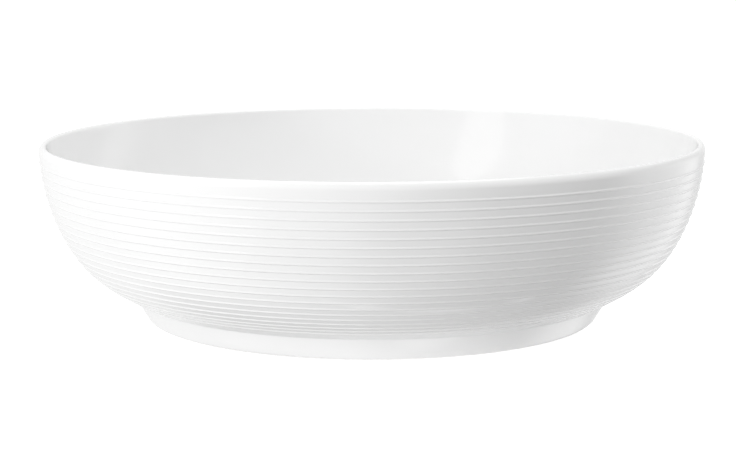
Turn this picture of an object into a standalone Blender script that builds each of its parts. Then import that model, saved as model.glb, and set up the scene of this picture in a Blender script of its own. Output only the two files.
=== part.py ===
"""Porcelain serving bowl: a coupe bowl with a ringed outer wall on a plain foot ring.

The bowl is one fired porcelain body with two separate coats of glaze fused to it. One coat covers
the inside, the lip and the outside down to the foot, and the other lines the well, the recess
inside the foot ring. The foot's bearing edge is bare. Metres, +Z up, with the origin on the table.

Everything is turned. Each profile is worked out on the glazed surface as samples, which are points
with the normal that leaves the porcelain, and the layers underneath are insets of those samples.
"""

from collections import namedtuple
from math import ceil, cos, hypot, pi, radians, sin, tan

import bpy

# Overall size
RIM_RADIUS = 0.140
HEIGHT = 0.0749
FOOT_RADIUS = 0.0953

# Outer wall from the lip down: arcs of (radius, slope at the lower end), a straight flare at the
# last slope, a hollow fillet, and the straight side of the foot. Slopes are from the horizontal.
TOP_SLOPE = radians(85.8)
FLARE_SLOPE = radians(30)
WALL_ARCS = ((0.1130, radians(78.4)), (0.0816, radians(59.9)), (0.0486, FLARE_SLOPE))
FOOT_FILLET = 0.0018
FOOT_SLOPE = radians(59.2)

# Wall thickness with its glazes, at the lip and at the flare
LIP_THICKNESS = 0.0032
FLARE_THICKNESS = 0.0042

# Lip: a wide shoulder on the outside, which turns this far over, and a tight edge at the inside
SHOULDER = 0.0034
SHOULDER_TURN = radians(50)

# Inside: a flat floor, and the arc that joins it to the wall
FLOOR_HEIGHT = 0.0098
FLOOR_BLEND = 0.024

# Raised rings on the outside, placed by distance down the wall from the lip
RING_COUNT = 20
FIRST_RING = 0.0040
RING_PITCH = 0.00356
RING_HEIGHT = 0.0003
RING_WIDTH = 0.0014

# Well inside the foot ring
WELL_HEIGHT = 0.0052
WELL_RADIUS = 0.0906
WELL_SLOPE = radians(72)
WELL_FILLET = 0.0035

# Rounding of the bearing edge, and the height where both glazes stop
BEARING_ROUND = 0.0007
GLAZE_STOP = 0.0006

# Layers: the glaze, and the clearance that stands for its fused bond to the body
GLAZE = 0.0003
BOND = 0.0003

# Fineness: facets round the axis, and the largest turn between two points of a profile
TURNED_STEPS = 48
LARGEST_TURN = radians(8)
EDGE_STEPS = 5
SHOULDER_STEPS = 4

# The lip's edge meets the shoulder at this angle, and its radius takes up the rest of the thickness.
SHOULDER_TOP = TOP_SLOPE - pi / 2 + SHOULDER_TURN
LIP_EDGE = (LIP_THICKNESS - SHOULDER * (1 - cos(SHOULDER_TURN))) / (1 + cos(SHOULDER_TURN))
EDGE_REACH = SHOULDER - LIP_EDGE

# Centre of the shoulder, and where the wall starts below it
SHOULDER_CENTRE = (RIM_RADIUS - SHOULDER, HEIGHT - LIP_EDGE - EDGE_REACH * sin(SHOULDER_TOP))
WALL_TOP = (
    SHOULDER_CENTRE[0] + SHOULDER * sin(TOP_SLOPE),
    SHOULDER_CENTRE[1] - SHOULDER * cos(TOP_SLOPE),
)

Sample = namedtuple("Sample", "x z normal_x normal_z")


def inset(samples, depth):
    """Points that lie depth under the samples' surface. A negative depth stands proud of it."""
    return [(s.x - depth * s.normal_x, s.z - depth * s.normal_z) for s in samples]


def round_samples(centre, radius, start, end, steps, hollow=False):
    """Samples on an arc between two angles, ends included. In a hollow arc the normals point in."""
    facing = -1 if hollow else 1
    angles = [start + (end - start) * step / steps for step in range(steps + 1)]
    return [
        Sample(
            centre[0] + radius * cos(angle),
            centre[1] + radius * sin(angle),
            facing * cos(angle),
            facing * sin(angle),
        )
        for angle in angles
    ]


def steps_for(turn):
    return max(1, ceil(abs(turn) / LARGEST_TURN))


def run_end(x, z, slope, length, radius):
    """Where a run down the wall ends, and its slope there. A straight run has no radius."""
    if radius is None:
        return x - length * cos(slope), z - length * sin(slope), slope
    lower = slope - length / radius
    return x - radius * (sin(slope) - sin(lower)), z + radius * (cos(slope) - cos(lower)), lower


def wall_runs():
    """The outer wall as runs of (length, radius), from the lip to the table. A hollow arc's
    radius is negative."""
    (x, z), slope = WALL_TOP, TOP_SLOPE
    runs = []
    for radius, lower in WALL_ARCS:
        runs.append((radius * (slope - lower), radius))
        x, z, slope = run_end(x, z, slope, *runs[-1])

    # The flare and the side of the foot are the tangents of the fillet that rounds their corner.
    corner_z = (FOOT_RADIUS - x + z / tan(FLARE_SLOPE)) / (1 / tan(FLARE_SLOPE) - 1 / tan(FOOT_SLOPE))
    corner_x = FOOT_RADIUS + corner_z / tan(FOOT_SLOPE)
    tangent = FOOT_FILLET * tan((FOOT_SLOPE - FLARE_SLOPE) / 2)
    runs.append((hypot(x - corner_x, z - corner_z) - tangent, None))
    runs.append((FOOT_FILLET * (FOOT_SLOPE - FLARE_SLOPE), -FOOT_FILLET))
    runs.append((corner_z / sin(FOOT_SLOPE) - tangent, None))
    return runs


def wall_sample(distance):
    """The outer wall's sample at this distance down it."""
    (x, z), slope = WALL_TOP, TOP_SLOPE
    for length, radius in wall_runs():
        x, z, slope = run_end(x, z, slope, min(distance, length), radius)
        distance -= length
        if distance <= 0:
            break
    return Sample(x, z, sin(slope), -cos(slope))


def wall_stops(runs):
    """Distances down the wall that show its shape, within the largest turn of each other."""
    stops = [0]
    for length, radius in runs:
        steps = 1 if radius is None else steps_for(length / radius)
        start = stops[-1]
        stops += [start + length * step / steps for step in range(1, steps + 1)]
    return stops


def ring_stops():
    """(distance, height) of the foot, crest and foot of each raised ring."""
    stops = []
    for ring in range(RING_COUNT):
        crest = FIRST_RING + ring * RING_PITCH
        stops += [(crest - RING_WIDTH / 2, 0), (crest, RING_HEIGHT), (crest + RING_WIDTH / 2, 0)]
    return stops


def outside_samples():
    """The plain outside, down to where the glaze stops."""
    runs = wall_runs()
    stops = wall_stops(runs)
    stops[-1] -= GLAZE_STOP / sin(FOOT_SLOPE)
    return [wall_sample(stop) for stop in stops]


def ringed_outside():
    """Points on the outside with its raised rings, down to where the glaze stops."""
    last_ring = ring_stops()[-1][0]
    above = [wall_sample(0)]
    below = [wall_sample(stop) for stop in wall_stops(wall_runs()) if stop > last_ring]
    points = inset(above, 0)
    for distance, height in ring_stops():
        points += inset([wall_sample(distance)], -height)
    return points + inset(below[:-1] + outside_samples()[-1:], 0)


def inside_samples():
    """The inside, from the middle of the floor up to the lip."""
    arcs = wall_runs()[: len(WALL_ARCS)]
    wall = []
    for stop in reversed(wall_stops(arcs)):
        outer = wall_sample(stop)
        share = stop / sum(length for length, _ in arcs)
        thickness = LIP_THICKNESS + (FLARE_THICKNESS - LIP_THICKNESS) * share
        x, z = inset([outer], thickness)[0]
        wall.append(Sample(x, z, -outer.normal_x, -outer.normal_z))

    # The wall's flare runs on inwards to the arc that turns it level with the floor.
    blend_rise = FLOOR_BLEND * (1 - cos(FLARE_SLOPE))
    blend_outer = wall[0].x - (wall[0].z - FLOOR_HEIGHT - blend_rise) / tan(FLARE_SLOPE)
    centre = (blend_outer - FLOOR_BLEND * sin(FLARE_SLOPE), FLOOR_HEIGHT + FLOOR_BLEND)
    blend = round_samples(
        centre, FLOOR_BLEND, -pi / 2, FLARE_SLOPE - pi / 2, steps_for(FLARE_SLOPE), hollow=True
    )
    return [Sample(0, FLOOR_HEIGHT, 0, 1), *blend, *wall]


def lip_samples():
    """The lip, round its edge from the inside and down over its shoulder."""
    x, z = SHOULDER_CENTRE
    edge = (x + EDGE_REACH * cos(SHOULDER_TOP), z + EDGE_REACH * sin(SHOULDER_TOP))
    inner, outer = TOP_SLOPE + pi / 2, TOP_SLOPE - pi / 2
    round_edge = round_samples(edge, LIP_EDGE, inner, SHOULDER_TOP, EDGE_STEPS)
    return round_edge + round_samples(SHOULDER_CENTRE, SHOULDER, SHOULDER_TOP, outer, SHOULDER_STEPS)[1:-1]


def well_samples():
    """The well, from where its glaze stops up to the middle of its ceiling."""
    stop = Sample(
        WELL_RADIUS - GLAZE_STOP / tan(WELL_SLOPE), GLAZE_STOP, -sin(WELL_SLOPE), -cos(WELL_SLOPE)
    )
    level = WELL_HEIGHT - WELL_FILLET
    centre = (WELL_RADIUS - level / tan(WELL_SLOPE) - WELL_FILLET / sin(WELL_SLOPE), level)
    fillet = round_samples(
        centre, WELL_FILLET, pi / 2 - WELL_SLOPE, pi / 2, steps_for(WELL_SLOPE) // 2, hollow=True
    )
    return [stop, *fillet, Sample(0, WELL_HEIGHT, 0, -1)]


def bearing_points():
    """The bare edge that the bowl stands on, from its outer rounding to its inner one."""
    depth = GLAZE + BOND + BEARING_ROUND
    outer = FOOT_RADIUS + BEARING_ROUND / tan(FOOT_SLOPE) - depth / sin(FOOT_SLOPE)
    inner = WELL_RADIUS - BEARING_ROUND / tan(WELL_SLOPE) + depth / sin(WELL_SLOPE)
    down = -pi / 2
    return inset(
        round_samples((outer, BEARING_ROUND), BEARING_ROUND, down + FOOT_SLOPE, down, 3)
        + round_samples((inner, BEARING_ROUND), BEARING_ROUND, down, down - WELL_SLOPE, 3),
        0,
    )


def body_profile():
    depth = GLAZE + BOND
    above = inset(inside_samples() + lip_samples() + outside_samples(), depth)
    return above + bearing_points() + inset(well_samples(), depth)


def glaze_coat_profile():
    front = inset(inside_samples() + lip_samples(), 0) + ringed_outside()
    back = inset(inside_samples() + lip_samples() + outside_samples(), GLAZE)
    return front + back[::-1]


def well_glaze_profile():
    front = inset(well_samples(), 0)
    back = inset(well_samples(), GLAZE)
    return back[::-1] + front


def ceramic(name, colour, roughness, coat):
    material = bpy.data.materials.new(name)
    material.use_nodes = True
    shader = material.node_tree.nodes["Principled BSDF"]
    shader.inputs["Base Color"].default_value = (*colour, 1)
    shader.inputs["Roughness"].default_value = roughness
    shader.inputs["Metallic"].default_value = 0
    shader.inputs["Coat Weight"].default_value = coat
    return material


def turned(name, profile, material, collection):
    """An object turned about Z from a profile of (x, z) points."""
    mesh = bpy.data.meshes.new(name)
    edges = [(point, point + 1) for point in range(len(profile) - 1)]
    mesh.from_pydata([(x, 0, z) for x, z in profile], edges, [])
    mesh.materials.append(material)
    piece = bpy.data.objects.new(name, mesh)
    collection.objects.link(piece)
    screw = piece.modifiers.new("Turn", "SCREW")
    screw.steps = screw.render_steps = TURNED_STEPS
    screw.use_merge_vertices = True
    screw.merge_threshold = 1e-6
    screw.use_smooth_shade = True
    return piece


def clear_scene():
    for thing in list(bpy.data.objects):
        bpy.data.objects.remove(thing, do_unlink=True)


def build():
    clear_scene()
    bowl = bpy.data.collections.new("porcelain_serving_bowl")
    bpy.context.scene.collection.children.link(bowl)
    porcelain = ceramic("fired_porcelain", (0.86, 0.85, 0.82), roughness=0.55, coat=0)
    glaze = ceramic("white_glaze", (0.93, 0.93, 0.92), roughness=0.08, coat=0.5)
    turned("porcelain_body", body_profile(), porcelain, bowl)
    turned("glaze_coat", glaze_coat_profile(), glaze, bowl)
    turned("well_glaze", well_glaze_profile(), glaze, bowl)


build()
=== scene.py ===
"""Porcelain serving bowl: the look of each piece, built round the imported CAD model.

The bowl is one fired porcelain body under two separate coats of glaze. Each piece below is a
closed mesh turned about the bowl's axis, on the same profile as the CAD solid that it stands for,
with fine rounding where the CAD has facets. The rings are in the body here too, and the rim leans
slightly. Metres, +Z up, with the origin on the table.
"""

from collections import namedtuple
from math import ceil, cos, hypot, pi, radians, sin, tan

import bpy
import numpy as np
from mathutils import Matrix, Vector


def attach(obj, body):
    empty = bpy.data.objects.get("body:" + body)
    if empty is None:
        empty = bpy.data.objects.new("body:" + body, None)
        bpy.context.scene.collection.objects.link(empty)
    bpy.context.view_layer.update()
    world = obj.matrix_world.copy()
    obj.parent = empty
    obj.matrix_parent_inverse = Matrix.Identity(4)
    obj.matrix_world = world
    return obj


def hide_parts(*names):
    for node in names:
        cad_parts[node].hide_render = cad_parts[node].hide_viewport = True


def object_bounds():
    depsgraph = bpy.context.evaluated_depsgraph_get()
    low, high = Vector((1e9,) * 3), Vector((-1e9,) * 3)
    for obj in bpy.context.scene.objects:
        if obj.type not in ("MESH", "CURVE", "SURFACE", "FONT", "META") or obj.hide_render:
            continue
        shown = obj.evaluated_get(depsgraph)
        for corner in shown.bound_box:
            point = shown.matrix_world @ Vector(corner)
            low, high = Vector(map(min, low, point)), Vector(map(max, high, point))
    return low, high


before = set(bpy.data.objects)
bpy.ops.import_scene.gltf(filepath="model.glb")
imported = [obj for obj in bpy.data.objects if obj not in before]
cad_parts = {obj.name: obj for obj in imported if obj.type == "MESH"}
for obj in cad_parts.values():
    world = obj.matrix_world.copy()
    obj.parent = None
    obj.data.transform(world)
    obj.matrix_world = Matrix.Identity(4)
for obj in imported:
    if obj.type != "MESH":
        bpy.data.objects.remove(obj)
cad_low, cad_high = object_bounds()

# Overall size: the rim and the height come from the frame
RIM_RADIUS = cad_high.x
HEIGHT = cad_high.z
FOOT_RADIUS = 0.0953

# Outer wall from the lip down: arcs of (radius, slope at the lower end), a straight flare at the
# last slope, a hollow fillet, and the straight side of the foot. Slopes are from the horizontal.
TOP_SLOPE = radians(85.8)
FLARE_SLOPE = radians(30)
WALL_ARCS = ((0.1130, radians(78.4)), (0.0816, radians(59.9)), (0.0486, FLARE_SLOPE))
FOOT_FILLET = 0.0018
FOOT_SLOPE = radians(59.2)

# Wall thickness with its glazes, at the lip and at the flare, and the inside's floor
LIP_THICKNESS = 0.0032
FLARE_THICKNESS = 0.0042
FLOOR_HEIGHT = 0.0098
FLOOR_BLEND = 0.024

# Lip: a wide shoulder on the outside, which turns this far over, and a tight edge at the inside
SHOULDER = 0.0034
SHOULDER_TURN = radians(50)

# Raised rings on the outside, placed by distance down the wall from the lip, with their height and
# width. They are moulded in the body, a little higher and narrower than the glaze over them shows.
RING_COUNT = 20
FIRST_RING = 0.0040
RING_PITCH = 0.00356
GLAZED_RING = (0.0003, 0.0014)
MOULDED_RING = (0.00033, 0.0013)

# Well inside the foot ring
WELL_HEIGHT = 0.0052
WELL_RADIUS = 0.0906
WELL_SLOPE = radians(72)
WELL_FILLET = 0.0035

# Rounding of the bearing edge, how high above it both glazes stop, and the length over which the
# glaze coat's end is rounded
BEARING_ROUND = 0.0007
GLAZE_STOP = 0.0006
GLAZE_END = 0.0003

# Layers: the glaze, and the sliver that keeps its back clear of the body's face
GLAZE = 0.0003
BOND_LINE = 0.00002

# Fineness: facets round the axis, the largest turn between two points of an outline, and steps
# along the parts that don't follow it
TURNED_STEPS = 176
LARGEST_TURN = radians(2.5)
STRAIGHT_STEPS = 3
EDGE_STEPS = 14
SHOULDER_STEPS = 14
RING_STEPS = 8
HIDDEN_RING_STEPS = 4
GLAZE_END_STEPS = 6
BEARING_STEPS = 8
FLOOR_STEPS = 10

# How far beyond a ring's edges the wall takes up its own slope again
RING_EDGE = 0.00008

# Angle at which the lip's edge meets the shoulder, the edge's radius, which takes up the rest of
# the thickness, and how far apart the two centres are
SHOULDER_TOP = TOP_SLOPE - pi / 2 + SHOULDER_TURN
LIP_EDGE = (LIP_THICKNESS - SHOULDER * (1 - cos(SHOULDER_TURN))) / (1 + cos(SHOULDER_TURN))
EDGE_REACH = SHOULDER - LIP_EDGE

# Centre of the shoulder, and where the wall starts below it
SHOULDER_CENTRE = (RIM_RADIUS - SHOULDER, HEIGHT - LIP_EDGE - EDGE_REACH * sin(SHOULDER_TOP))
WALL_TOP = (
    SHOULDER_CENTRE[0] + SHOULDER * sin(TOP_SLOPE),
    SHOULDER_CENTRE[1] - SHOULDER * cos(TOP_SLOPE),
)

# How far the rim leans: its rise per metre towards +X, and how far below the lip that has faded out
RIM_LEAN = 0.0035
LEAN_DEPTH = 0.006

# Curvature at which the glaze runs off an edge or gathers in a hollow half as much as it ever does
GATHERING_CURVE = 200

# The range that nearly all of a noise's values lie in
NOISE_RANGE = (0.3, 0.7)

# White glaze: its colours where it runs thin and where it gathers, its faint clouds by colour,
# size and the most of them that shows, its patches of duller sheen by size and roughness, its
# clear coat, and the (size, relief) of its surface
THIN_GLAZE = (0.885, 0.885, 0.882)
DEEP_GLAZE = (0.855, 0.857, 0.858)
CLOUDED_GLAZE = (0.86, 0.86, 0.86)
CLOUD_SIZE = 0.03
CLOUD_SHARE = 0.5
SHEEN_SIZE = 0.006
GLAZE_ROUGHNESS = (0.10, 0.16)
COAT_WEIGHT = 0.4
COAT_ROUGHNESS = 0.05
UNDULATION = (0.022, 0.00012)
ORANGE_PEEL = (0.0018, 0.000012)

# Bare porcelain: its two fired colours and the size of their patches, its specks by colour, the
# part of the grain that they take and the most of them that shows, its roughness, and its grain
PALE_PORCELAIN = (0.90, 0.897, 0.890)
WARM_PORCELAIN = (0.88, 0.875, 0.865)
FIRED_SIZE = 0.012
SPECK = (0.76, 0.74, 0.70)
SPECK_RANGE = (0.64, 0.72)
SPECK_SHARE = 0.35
PORCELAIN_ROUGHNESS = (0.55, 0.75)
GRAIN = (0.0004, 0.00006)

# Floor: its width, how far under the foot it lies so that the two don't share a plane, its grey,
# its roughness, and the light of its own that makes it white
FLOOR_WIDTH = 20
FLOOR_DROP = 0.00005
FLOOR_GREY = (0.5, 0.5, 0.5, 1)
FLOOR_ROUGHNESS = 0.8
FLOOR_GLOW = 0.8

# Studio surround: its brightness, and how that grows along each axis. Its patches are (azimuth,
# elevation, half-angle of the whole effect, angle over which it fades out). The dark corner goes
# down to black, the shade keeps this share of the light, and the two panels add this much.
SURROUND = 0.81
SURROUND_SLOPE = (-0.04, 0.09, 0)
DARK_CORNER = (radians(-35), radians(-40), radians(34), radians(20))
SHADE_BELOW = (radians(80), radians(-72), radians(22), radians(22))
SHADE_REMAINDER = 0.38
SIDE_PANEL = (radians(29), radians(-18), radians(16), radians(20))
SIDE_GLOW = 0.79
FRONT_PANEL = (radians(-124), radians(-23), radians(50), radians(25))
FRONT_GLOW = 0.52

# Softboxes: azimuth and elevation, distance, (width, height), and radiance. The low one stands in
# for the light that comes off the table in front of the foot.
OVERHEAD_SOFTBOX = (radians(-90), radians(90), 1.2, (1.24, 1.24), 1.2)
STRIP_SOFTBOX = (radians(-137), radians(22), 1.2, (0.40, 1.1), 0.9)
LOW_SOFTBOX = (radians(-72), radians(-14), 0.12, (0.14, 0.03), 1.0)

# Camera: its place, how far down it looks, and its lens and sensor in millimetres
CAMERA_PLACE = Vector((-0.0016, -0.847, 0.1705))
CAMERA_TILT = radians(8.911)
CAMERA_LENS = 98.0
CAMERA_SENSOR = 36

Sample = namedtuple("Sample", "x z normal_x normal_z")


def inset(samples, depth):
    """Points that lie depth under the samples' surface. A negative depth stands proud of it."""
    return [(s.x - depth * s.normal_x, s.z - depth * s.normal_z) for s in samples]


def round_samples(centre, radius, start, end, steps, hollow=False):
    """Samples on an arc between two angles, ends included. In a hollow arc the normals point in."""
    facing = -1 if hollow else 1
    angles = [start + (end - start) * step / steps for step in range(steps + 1)]
    return [
        Sample(
            centre[0] + radius * cos(angle),
            centre[1] + radius * sin(angle),
            facing * cos(angle),
            facing * sin(angle),
        )
        for angle in angles
    ]


def steps_for(turn):
    return max(1, ceil(abs(turn) / LARGEST_TURN))


def run_end(x, z, slope, length, radius):
    """Where a run down the wall ends, and its slope there. A straight run has no radius."""
    if radius is None:
        return x - length * cos(slope), z - length * sin(slope), slope
    lower = slope - length / radius
    return x - radius * (sin(slope) - sin(lower)), z + radius * (cos(slope) - cos(lower)), lower


def wall_runs():
    """The outer wall as runs of (length, radius), from the lip to the table. A hollow arc's
    radius is negative."""
    (x, z), slope = WALL_TOP, TOP_SLOPE
    runs = []
    for radius, lower in WALL_ARCS:
        runs.append((radius * (slope - lower), radius))
        x, z, slope = run_end(x, z, slope, *runs[-1])

    # The flare and the side of the foot are the tangents of the fillet that rounds their corner.
    reach = FOOT_RADIUS - x + z / tan(FLARE_SLOPE)
    corner_z = reach / (1 / tan(FLARE_SLOPE) - 1 / tan(FOOT_SLOPE))
    corner_x = FOOT_RADIUS + corner_z / tan(FOOT_SLOPE)
    tangent = FOOT_FILLET * tan((FOOT_SLOPE - FLARE_SLOPE) / 2)
    runs.append((hypot(x - corner_x, z - corner_z) - tangent, None))
    runs.append((FOOT_FILLET * (FOOT_SLOPE - FLARE_SLOPE), -FOOT_FILLET))
    runs.append((corner_z / sin(FOOT_SLOPE) - tangent, None))
    return runs


def wall_sample(distance):
    """The outer wall's sample at this distance down it."""
    (x, z), slope = WALL_TOP, TOP_SLOPE
    for length, radius in wall_runs():
        x, z, slope = run_end(x, z, slope, min(distance, length), radius)
        distance -= length
        if distance <= 0:
            break
    return Sample(x, z, sin(slope), -cos(slope))


def wall_stops(runs):
    """Distances down the wall that show its shape, within the largest turn of each other."""
    stops = [0]
    for length, radius in runs:
        steps = STRAIGHT_STEPS if radius is None else steps_for(length / radius)
        start = stops[-1]
        stops += [start + length * step / steps for step in range(1, steps + 1)]
    return stops


def end_stops(end):
    """(distance, depth) of the rounding that brings a glaze's face down to the body at its end."""
    turns = [pi / 2 * step / GLAZE_END_STEPS for step in range(GLAZE_END_STEPS + 1)]
    return [(end - GLAZE_END * (1 - sin(turn)), GLAZE * (1 - cos(turn))) for turn in turns]


def outside_points(depth, ring, ring_steps, rounded_end=False):
    """Points depth under the outside, with its rings of (height, width), to where glaze stops."""
    height, width = ring
    reach = width / 2 + RING_EDGE
    stops = [(0, 0)]
    for number in range(RING_COUNT):
        crest = FIRST_RING + number * RING_PITCH
        stops.append((crest - reach, 0))
        for step in range(ring_steps + 1):
            across = step / ring_steps - 1 / 2
            stops.append((crest + across * width, height * (1 + cos(2 * pi * across)) / 2))
        stops.append((crest + reach, 0))
    end = sum(length for length, _ in wall_runs()) - GLAZE_STOP / sin(FOOT_SLOPE)
    below = [stop for stop in wall_stops(wall_runs()) if stops[-1][0] < stop < end - GLAZE_END]
    stops += [(stop, 0) for stop in below]
    if rounded_end:
        stops += [(distance, -sunk) for distance, sunk in end_stops(end)]
    else:
        stops.append((end, 0))
    return [inset([wall_sample(stop)], depth - proud)[0] for stop, proud in stops]


def inside_samples():
    """The inside, from the middle of the floor up to the lip."""
    arcs = wall_runs()[: len(WALL_ARCS)]
    wall = []
    for stop in reversed(wall_stops(arcs)):
        outer = wall_sample(stop)
        share = stop / sum(length for length, _ in arcs)
        thickness = LIP_THICKNESS + (FLARE_THICKNESS - LIP_THICKNESS) * share
        x, z = inset([outer], thickness)[0]
        wall.append(Sample(x, z, -outer.normal_x, -outer.normal_z))

    # The wall's flare runs on inwards to the arc that turns it level with the floor.
    blend_rise = FLOOR_BLEND * (1 - cos(FLARE_SLOPE))
    blend_outer = wall[0].x - (wall[0].z - FLOOR_HEIGHT - blend_rise) / tan(FLARE_SLOPE)
    centre = (blend_outer - FLOOR_BLEND * sin(FLARE_SLOPE), FLOOR_HEIGHT + FLOOR_BLEND)
    blend = round_samples(
        centre, FLOOR_BLEND, -pi / 2, FLARE_SLOPE - pi / 2, steps_for(FLARE_SLOPE), hollow=True
    )
    floor = [
        Sample(blend[0].x * step / FLOOR_STEPS, FLOOR_HEIGHT, 0, 1) for step in range(FLOOR_STEPS)
    ]
    return [*floor, *blend, *wall]


def lip_samples():
    """The lip, round its edge from the inside and down over its shoulder."""
    x, z = SHOULDER_CENTRE
    edge = (x + EDGE_REACH * cos(SHOULDER_TOP), z + EDGE_REACH * sin(SHOULDER_TOP))
    inner, outer = TOP_SLOPE + pi / 2, TOP_SLOPE - pi / 2
    shoulder = round_samples(SHOULDER_CENTRE, SHOULDER, SHOULDER_TOP, outer, SHOULDER_STEPS)
    return round_samples(edge, LIP_EDGE, inner, SHOULDER_TOP, EDGE_STEPS) + shoulder[1:-1]


def well_samples():
    """The well, from where its glaze stops up to the middle of its ceiling."""
    stop = Sample(
        WELL_RADIUS - GLAZE_STOP / tan(WELL_SLOPE), GLAZE_STOP, -sin(WELL_SLOPE), -cos(WELL_SLOPE)
    )
    level = WELL_HEIGHT - WELL_FILLET
    centre = (WELL_RADIUS - level / tan(WELL_SLOPE) - WELL_FILLET / sin(WELL_SLOPE), level)
    fillet = round_samples(
        centre, WELL_FILLET, pi / 2 - WELL_SLOPE, pi / 2, steps_for(WELL_SLOPE), hollow=True
    )
    ceiling = [
        Sample(centre[0] * step / FLOOR_STEPS, WELL_HEIGHT, 0, -1)
        for step in reversed(range(FLOOR_STEPS))
    ]
    return [stop, *fillet, *ceiling]


def bearing_points():
    """The bare edge that the bowl stands on, from its outer rounding to its inner one."""
    depth = GLAZE + BOND_LINE + BEARING_ROUND
    outer = FOOT_RADIUS + BEARING_ROUND / tan(FOOT_SLOPE) - depth / sin(FOOT_SLOPE)
    inner = WELL_RADIUS - BEARING_ROUND / tan(WELL_SLOPE) + depth / sin(WELL_SLOPE)
    down = -pi / 2
    samples = []
    for x, start, end in ((outer, down + FOOT_SLOPE, down), (inner, down, down - WELL_SLOPE)):
        samples += round_samples((x, BEARING_ROUND), BEARING_ROUND, start, end, BEARING_STEPS)
    return inset(samples, 0)


def glaze_coat_outline():
    front = inset(inside_samples() + lip_samples(), 0)
    front += outside_points(0, GLAZED_RING, RING_STEPS, rounded_end=True)
    back = inset(inside_samples() + lip_samples(), GLAZE)
    back += outside_points(GLAZE, MOULDED_RING, HIDDEN_RING_STEPS)[:-1]
    return front + back[::-1]


def body_outline():
    depth = GLAZE + BOND_LINE
    above = inset(inside_samples() + lip_samples(), depth)
    above += outside_points(depth, MOULDED_RING, HIDDEN_RING_STEPS)
    return above + bearing_points() + inset(well_samples(), depth)


def well_glaze_outline():
    samples = well_samples()
    back = inset(samples, GLAZE)
    return back[::-1] + inset(samples, 0)


def gathering(outline):
    """How far glaze gathers at each point of an outline, from -1 on a sharp edge to 1 in a sharp
    hollow."""
    runs = np.diff(outline, axis=0)
    lengths = np.hypot(runs[:, 0], runs[:, 1])
    headings = np.unwrap(np.arctan2(runs[:, 1], runs[:, 0]))
    curves = np.diff(headings) / ((lengths[1:] + lengths[:-1]) / 2)
    return np.concatenate([[0], curves / (abs(curves) + GATHERING_CURVE), [0]])


def leaned(points):
    """The points with the rim's slight lean, which fades out below the lip."""
    share = np.clip((points[:, 2] - HEIGHT + LEAN_DEPTH) / LEAN_DEPTH, 0, 1)
    points[:, 2] += RIM_LEAN * points[:, 0] * share * share * (3 - 2 * share)
    return points


def turned(name, outline, material):
    """A closed mesh turned about Z from an outline of (x, z) points with both ends on the axis."""
    outline = np.array(outline)
    angles = np.arange(TURNED_STEPS) * 2 * pi / TURNED_STEPS
    rows = outline[1:-1]
    x = np.outer(rows[:, 0], np.cos(angles))
    y = np.outer(rows[:, 0], np.sin(angles))
    z = np.repeat(rows[:, 1:], TURNED_STEPS, axis=1)
    grid = np.stack([x, y, z], axis=2).reshape(-1, 3)
    first, last = len(grid), len(grid) + 1
    points = np.vstack([grid, [0, 0, outline[0, 1]], [0, 0, outline[-1, 1]]])

    here = np.arange(TURNED_STEPS)
    beside = (here + 1) % TURNED_STEPS
    bottom = (len(rows) - 1) * TURNED_STEPS
    faces = [(first, a, b) for a, b in zip(here, beside)]
    for row in range(len(rows) - 1):
        upper, lower = row * TURNED_STEPS, (row + 1) * TURNED_STEPS
        faces += [(upper + a, lower + a, lower + b, upper + b) for a, b in zip(here, beside)]
    faces += [(last, bottom + b, bottom + a) for a, b in zip(here, beside)]

    mesh = bpy.data.meshes.new(name)
    mesh.from_pydata(leaned(points).tolist(), [], [tuple(map(int, face)) for face in faces])
    mesh.shade_smooth()
    gathered = gathering(outline)
    values = np.append(np.repeat(gathered[1:-1], TURNED_STEPS), gathered[[0, -1]])
    mesh.attributes.new("gathering", "FLOAT", "POINT").data.foreach_set("value", values)
    mesh.materials.append(material)
    piece = bpy.data.objects.new(name, mesh)
    bpy.context.scene.collection.objects.link(piece)
    return piece


def shader_material(name):
    """A new material, its node tree and its Principled shader."""
    material = bpy.data.materials.new(name)
    material.use_nodes = True
    return material, material.node_tree, material.node_tree.nodes["Principled BSDF"]


def noise(tree, size, detail=2):
    """A noise whose features are about this size in metres."""
    place = tree.nodes.new("ShaderNodeTexCoord")
    texture = tree.nodes.new("ShaderNodeTexNoise")
    texture.inputs["Scale"].default_value = 1 / size
    texture.inputs["Detail"].default_value = detail
    tree.links.new(place.outputs["Object"], texture.inputs["Vector"])
    return texture.outputs["Fac"]


def ranged(tree, value, lowest, highest, to_lowest, to_highest):
    """A value moved from one range to another, and kept in it."""
    remap = tree.nodes.new("ShaderNodeMapRange")
    for name, number in (
        ("From Min", lowest),
        ("From Max", highest),
        ("To Min", to_lowest),
        ("To Max", to_highest),
    ):
        remap.inputs[name].default_value = number
    tree.links.new(value, remap.inputs["Value"])
    return remap.outputs["Result"]


def mixed(tree, share, first, second):
    """A colour between two others. Either one may be a colour or a node's output."""
    mix = tree.nodes.new("ShaderNodeMix")
    mix.data_type = "RGBA"
    tree.links.new(share, mix.inputs["Factor"])
    for name, colour in (("A", first), ("B", second)):
        socket = next(s for s in mix.inputs if s.name == name and s.type == "RGBA")
        if isinstance(colour, tuple):
            socket.default_value = (*colour, 1)
        else:
            tree.links.new(colour, socket)
    return next(s for s in mix.outputs if s.type == "RGBA")


def bumped(tree, height, relief, under=None):
    """The normal of a surface with this height map, its relief in metres, over another bump."""
    bump = tree.nodes.new("ShaderNodeBump")
    bump.inputs["Distance"].default_value = relief
    tree.links.new(height, bump.inputs["Height"])
    if under:
        tree.links.new(under, bump.inputs["Normal"])
    return bump.outputs["Normal"]


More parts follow.
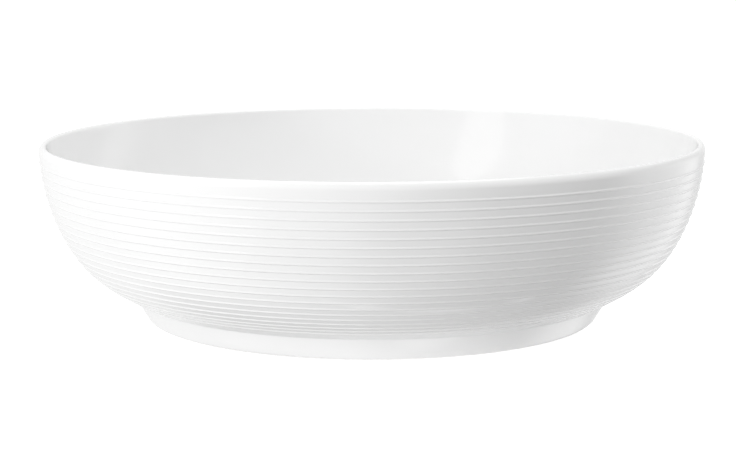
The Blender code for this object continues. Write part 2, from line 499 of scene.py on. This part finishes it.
def white_glaze():
    """Clear glaze over white porcelain: paler where it runs thin, deeper where it gathers."""
    material, tree, shader = shader_material("white_glaze")
    gathered = tree.nodes.new("ShaderNodeAttribute")
    gathered.attribute_name = "gathering"
    depth = ranged(tree, gathered.outputs["Fac"], -1, 1, 0, 1)
    glazed = mixed(tree, depth, THIN_GLAZE, DEEP_GLAZE)
    cloud = ranged(tree, noise(tree, CLOUD_SIZE), *NOISE_RANGE, 0, CLOUD_SHARE)
    tree.links.new(mixed(tree, cloud, glazed, CLOUDED_GLAZE), shader.inputs["Base Color"])

    sheen = ranged(tree, noise(tree, SHEEN_SIZE, detail=4), *NOISE_RANGE, *GLAZE_ROUGHNESS)
    tree.links.new(sheen, shader.inputs["Roughness"])
    shader.inputs["Coat Weight"].default_value = COAT_WEIGHT
    shader.inputs["Coat Roughness"].default_value = COAT_ROUGHNESS

    size, relief = UNDULATION
    undulation = bumped(tree, noise(tree, size, detail=1), relief)
    size, relief = ORANGE_PEEL
    orange_peel = bumped(tree, noise(tree, size), relief, undulation)
    tree.links.new(orange_peel, shader.inputs["Normal"])
    return material


def bare_porcelain():
    """Fired, unglazed porcelain: matt, warmer than the glaze, with a fine sugary grain."""
    material, tree, shader = shader_material("bare_porcelain")
    size, relief = GRAIN
    grain = noise(tree, size, detail=5)
    patches = ranged(tree, noise(tree, FIRED_SIZE, detail=3), *NOISE_RANGE, 0, 1)
    fired = mixed(tree, patches, PALE_PORCELAIN, WARM_PORCELAIN)
    specks = ranged(tree, grain, *SPECK_RANGE, 0, SPECK_SHARE)
    tree.links.new(mixed(tree, specks, fired, SPECK), shader.inputs["Base Color"])
    rough = ranged(tree, grain, *NOISE_RANGE, *PORCELAIN_ROUGHNESS)
    tree.links.new(rough, shader.inputs["Roughness"])
    tree.links.new(bumped(tree, grain, relief), shader.inputs["Normal"])
    return material


def make_bowl():
    glaze, bare = white_glaze(), bare_porcelain()
    pieces = (
        ("glaze_coat_surface", glaze_coat_outline(), glaze, "glaze_coat", "white_glaze"),
        ("porcelain_body_surface", body_outline(), bare, "porcelain_body", "bare_porcelain"),
        ("well_glaze_surface", well_glaze_outline(), glaze, "well_glaze", "white_glaze"),
    )
    for name, outline, material, node, slot in pieces:
        piece = turned(name, outline, material)
        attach(piece, "root")
        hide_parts(node)


def make_floor():
    """A plain floor that shows white and sends no light back up at the bowl."""
    bpy.ops.mesh.primitive_plane_add(size=FLOOR_WIDTH, location=(0, 0, cad_low.z - FLOOR_DROP))
    floor = bpy.context.object
    floor.name = "floor"
    floor.visible_diffuse = floor.visible_glossy = floor.visible_transmission = False
    floor.visible_shadow = False
    material, _, shader = shader_material("pale_floor")
    shader.inputs["Base Color"].default_value = FLOOR_GREY
    shader.inputs["Roughness"].default_value = FLOOR_ROUGHNESS
    shader.inputs["Specular IOR Level"].default_value = 0
    shader.inputs["Emission Color"].default_value = (1, 1, 1, 1)
    shader.inputs["Emission Strength"].default_value = FLOOR_GLOW
    floor.data.materials.append(material)


def make_camera():
    data = bpy.data.cameras.new("camera")
    data.lens = CAMERA_LENS
    data.sensor_width = CAMERA_SENSOR
    camera = bpy.data.objects.new("camera", data)
    camera.location = CAMERA_PLACE
    camera.rotation_euler = (pi / 2 - CAMERA_TILT, 0, 0)
    bpy.context.scene.collection.objects.link(camera)
    bpy.context.scene.camera = camera


def direction(azimuth, elevation):
    return (cos(elevation) * cos(azimuth), cos(elevation) * sin(azimuth), sin(elevation))


def arithmetic(tree, operation, first, second):
    """Arithmetic on two values, of which the second may be a number."""
    node = tree.nodes.new("ShaderNodeMath")
    node.operation = operation
    tree.links.new(first, node.inputs[0])
    if isinstance(second, (int, float)):
        node.inputs[1].default_value = second
    else:
        tree.links.new(second, node.inputs[1])
    return node.outputs["Value"]


def along(tree, heading):
    """How far the light's direction goes along a heading."""
    place = tree.nodes.new("ShaderNodeTexCoord")
    dot = tree.nodes.new("ShaderNodeVectorMath")
    dot.operation = "DOT_PRODUCT"
    dot.inputs[1].default_value = heading
    tree.links.new(place.outputs["Generated"], dot.inputs[0])
    return dot.outputs["Value"]


def patch(tree, place, outside, inside):
    """A value that changes smoothly from outside to inside around a place on the surround."""
    azimuth, elevation, whole, fade = place
    centre = along(tree, direction(azimuth, elevation))
    value = ranged(tree, centre, cos(whole + fade), cos(whole), outside, inside)
    value.node.interpolation_type = "SMOOTHSTEP"
    return value


def make_world():
    """The studio surround that lights the bowl. The camera itself sees it plain white."""
    world = bpy.data.worlds.new("studio")
    world.use_nodes = True
    bpy.context.scene.world = world
    tree = world.node_tree
    light = arithmetic(tree, "ADD", along(tree, SURROUND_SLOPE), SURROUND)
    light = arithmetic(tree, "MULTIPLY", light, patch(tree, DARK_CORNER, 1, 0))
    light = arithmetic(tree, "MULTIPLY", light, patch(tree, SHADE_BELOW, 1, SHADE_REMAINDER))
    light = arithmetic(tree, "ADD", light, patch(tree, SIDE_PANEL, 0, SIDE_GLOW))
    light = arithmetic(tree, "ADD", light, patch(tree, FRONT_PANEL, 0, FRONT_GLOW))
    surround = tree.nodes["Background"]
    surround.inputs["Color"].default_value = (1, 1, 1, 1)
    tree.links.new(light, surround.inputs["Strength"])

    backdrop = tree.nodes.new("ShaderNodeBackground")
    backdrop.inputs["Color"].default_value = (1, 1, 1, 1)
    backdrop.inputs["Strength"].default_value = 1
    path = tree.nodes.new("ShaderNodeLightPath")
    chosen = tree.nodes.new("ShaderNodeMixShader")
    tree.links.new(path.outputs["Is Camera Ray"], chosen.inputs["Fac"])
    tree.links.new(surround.outputs["Background"], chosen.inputs[1])
    tree.links.new(backdrop.outputs["Background"], chosen.inputs[2])
    tree.links.new(chosen.outputs["Shader"], tree.nodes["World Output"].inputs["Surface"])


def make_softbox(name, azimuth, elevation, distance, size, radiance):
    """An oval light of this size that faces the middle of the foot from this direction."""
    data = bpy.data.lights.new(name, "AREA")
    data.shape = "ELLIPSE"
    data.size, data.size_y = size
    data.energy = radiance * pi * (pi / 4 * data.size * data.size_y)
    softbox = bpy.data.objects.new(name, data)
    heading = Vector(direction(azimuth, elevation))
    softbox.location = heading * distance
    softbox.rotation_euler = heading.to_track_quat("Z", "Y").to_euler()
    softbox.visible_camera = False
    bpy.context.scene.collection.objects.link(softbox)


make_bowl()
make_floor()
make_camera()
make_world()
make_softbox("overhead_softbox", *OVERHEAD_SOFTBOX)
make_softbox("strip_softbox", *STRIP_SOFTBOX)
make_softbox("low_softbox", *LOW_SOFTBOX)
bpy.context.scene.view_settings.view_transform = "Standard"
